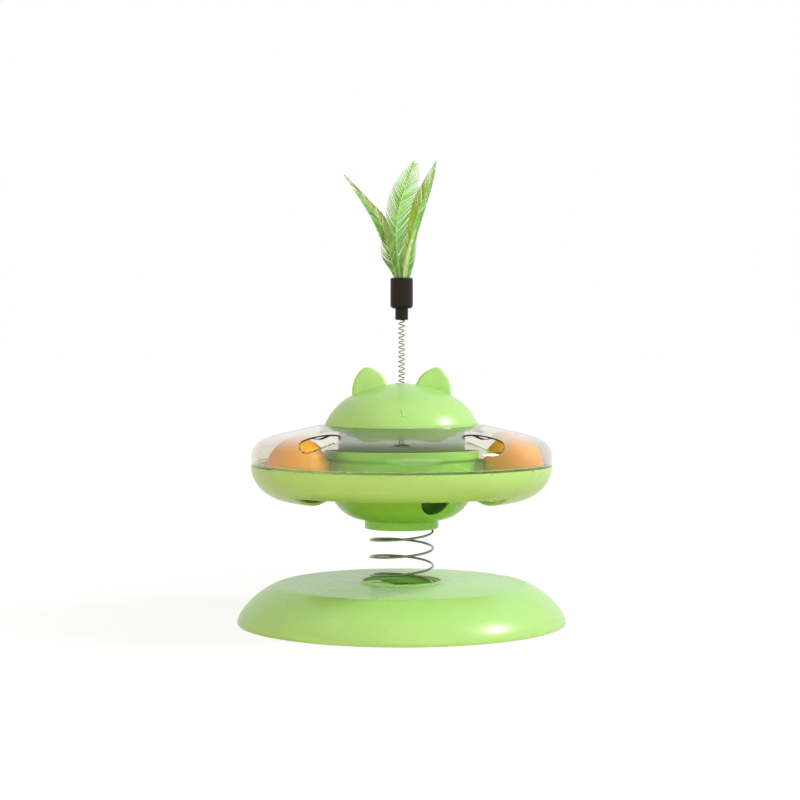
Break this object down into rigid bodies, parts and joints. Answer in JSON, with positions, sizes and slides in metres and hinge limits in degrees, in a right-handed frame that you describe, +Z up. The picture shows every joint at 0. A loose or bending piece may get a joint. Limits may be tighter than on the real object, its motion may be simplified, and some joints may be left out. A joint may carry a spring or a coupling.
{
  "type": "cat treat dispenser toy",
  "caption": "Sway-on-spring cat toy: weighted round base, coil spring, covered ball track with paw holes, treat bin with side outlet, eared lid and feather teaser.",
  "frame": {"origin": "middle of the base's underside, on the surface the toy stands on", "axes": "+Z up along the spring; the front of the eared lid faces -Y; +X to the right seen from the front"},
  "size_m": [0.2, 0.2, 0.2812],
  "materials": {
    "green_plastic": "satin light green moulded plastic",
    "deep_green_plastic": "satin green moulded plastic",
    "clear_plastic": "clear moulded plastic",
    "orange_plastic": "satin orange moulded plastic",
    "black_plastic": "satin brown-black moulded plastic",
    "spring_steel": "bright spring wire",
    "steel": "zinc-plated steel",
    "rubber": "matt rubber",
    "feather": "dyed green feather"
  },
  "bodies": {
    "base": {"base_shell": "green_plastic", "base_floor": "deep_green_plastic", "base_ballast": "steel", "base_feet": "rubber", "base_screws": "steel", "spring_socket": "green_plastic"},
    "spring": {"main_spring": "spring_steel"},
    "head": {"spring_cap": "deep_green_plastic", "cap_screws": "steel", "treat_bowl": "deep_green_plastic", "bin_screws": "steel", "treat_bin": "deep_green_plastic", "ball_tray": "green_plastic", "track_cover": "clear_plastic"},
    "left_ball": {"ball_left": "orange_plastic"},
    "right_ball": {"ball_right": "orange_plastic"},
    "lid": {"lid_dome": "green_plastic", "lid_plug": "deep_green_plastic", "teaser_bush": "green_plastic"},
    "teaser": {"teaser_spring": "spring_steel", "spring_ferrule": "black_plastic", "feather_socket": "black_plastic", "feather_left": "feather", "feather_middle": "feather", "feather_right": "feather", "feather_tuft_left": "feather", "feather_tuft_right": "feather"}
  },
  "joints": [
    {"name": "head_sway", "type": "hinge", "parent": "base", "child": "spring", "pos_m": [0, 0, 0.03], "axis": [0, 1, 0], "range_deg": [-12, 12], "stiffness_Nm_per_rad": 3, "deforming": ["main_spring"]},
    {"name": "head_bob", "type": "slide", "parent": "spring", "child": "head", "axis": [0, 0, 1], "range_m": [-0.008, 0.004], "stiffness_N_per_m": 1500, "deforming": ["main_spring"]},
    {"name": "left_ball_roll", "type": "hinge", "parent": "head", "child": "left_ball", "pos_m": [0, 0, 0.0953], "axis": [0, 0, 1], "range_deg": [-51, 1]},
    {"name": "right_ball_roll", "type": "hinge", "parent": "head", "child": "right_ball", "pos_m": [0, 0, 0.0953], "axis": [0, 0, 1], "range_deg": [-26, 26]},
    {"name": "lid_lift", "type": "slide", "parent": "head", "child": "lid", "axis": [0, 0, 1], "range_m": [0, 0.06]},
    {"name": "teaser_sway", "type": "hinge", "parent": "lid", "child": "teaser", "pos_m": [0, 0, 0.147], "axis": [0, 1, 0], "range_deg": [-30, 30], "stiffness_Nm_per_rad": 0.06, "deforming": ["teaser_spring"]}
  ]
}
